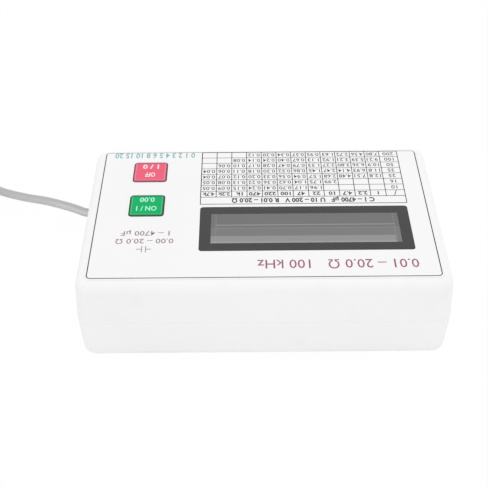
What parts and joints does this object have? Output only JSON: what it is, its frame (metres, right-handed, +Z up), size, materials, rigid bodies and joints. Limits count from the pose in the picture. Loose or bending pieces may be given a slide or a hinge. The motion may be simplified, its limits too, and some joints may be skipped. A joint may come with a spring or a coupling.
{
  "type": "component tester",
  "caption": "Handheld component tester: moulded two-shell case, framed display, printed panel, a green and a red key, and a grey test lead that ends in probes.",
  "frame": {"origin": "middle of the case's underside", "axes": "+X along the case to the right of someone who reads the panel, +Y towards the panel's upper edge, +Z up through the panel"},
  "size_m": [0.244, 0.1253, 0.032],
  "materials": {
    "shell_white": "fine moulded grain",
    "label_print": "printed film",
    "lens_clear": "clear acrylic with a dark printed border",
    "key_green": "satin",
    "key_red": "satin",
    "black_plastic": "satin",
    "switch_plastic": "satin",
    "spring_steel": "bright",
    "fastener_steel": "zinc plated",
    "bezel_steel": "black oxide",
    "lcd_glass": "grey reflective display",
    "contact_rubber": "striped",
    "light_guide": "translucent",
    "board_green": "solder mask",
    "chip_resin": "moulded resin",
    "standoff_nylon": "satin",
    "can_aluminium": "drawn",
    "battery_jacket": "lacquered",
    "nickel": "plated",
    "wire_red": "smooth",
    "wire_black": "smooth",
    "lead_grey": "smooth",
    "tie_nylon": "satin",
    "probe_red": "satin",
    "probe_black": "satin"
  },
  "bodies": {
    "case": {"top_shell": "shell_white", "bottom_shell": "shell_white", "case_screws": "fastener_steel", "front_label": "label_print", "display_lens": "lens_clear", "key_switch_housings": "switch_plastic", "key_switch_domes": "spring_steel", "lcd_bezel": "bezel_steel", "lcd_board": "board_green", "lcd_glass": "lcd_glass", "lcd_contact_strips": "contact_rubber", "lcd_light_guide": "light_guide", "lcd_driver_chips": "chip_resin", "lcd_screws": "fastener_steel", "display_standoffs": "standoff_nylon", "lcd_nuts": "fastener_steel", "display_header": "black_plastic", "main_board": "board_green", "board_screws": "fastener_steel", "microcontroller": "chip_resin", "amplifier_chip": "chip_resin", "crystal": "nickel", "voltage_regulator": "chip_resin", "electrolytic_capacitors": "can_aluminium", "protection_diodes": "chip_resin", "chip_resistors": "chip_resin", "battery": "battery_jacket", "battery_terminals": "nickel", "battery_snap": "black_plastic", "battery_wire_red": "wire_red", "battery_wire_black": "wire_black", "cable_grommet": "lead_grey", "lead_inner": "lead_grey", "strain_tie": "tie_nylon", "lead_cores": "wire_red", "lead_coil": "lead_grey", "coil_tie": "tie_nylon", "test_lead": "lead_grey", "lead_tail": "lead_grey", "lead_split": "lead_grey", "red_lead": "wire_red", "black_lead": "wire_black", "red_probe_handle": "probe_red", "black_probe_handle": "probe_black", "probe_tips": "nickel"},
    "on_key": {"on_key_cap": "key_green", "on_key_plunger": "black_plastic"},
    "off_key": {"off_key_cap": "key_red", "off_key_plunger": "black_plastic"}
  },
  "joints": [
    {"name": "on_key_press", "type": "slide", "parent": "case", "child": "on_key", "axis": [0, 0, -1], "range_m": [0, 0.00035], "stiffness_N_per_m": 4000, "springref_m": -0.0003},
    {"name": "off_key_press", "type": "slide", "parent": "case", "child": "off_key", "axis": [0, 0, -1], "range_m": [0, 0.00035], "stiffness_N_per_m": 4000, "springref_m": -0.0003}
  ]
}
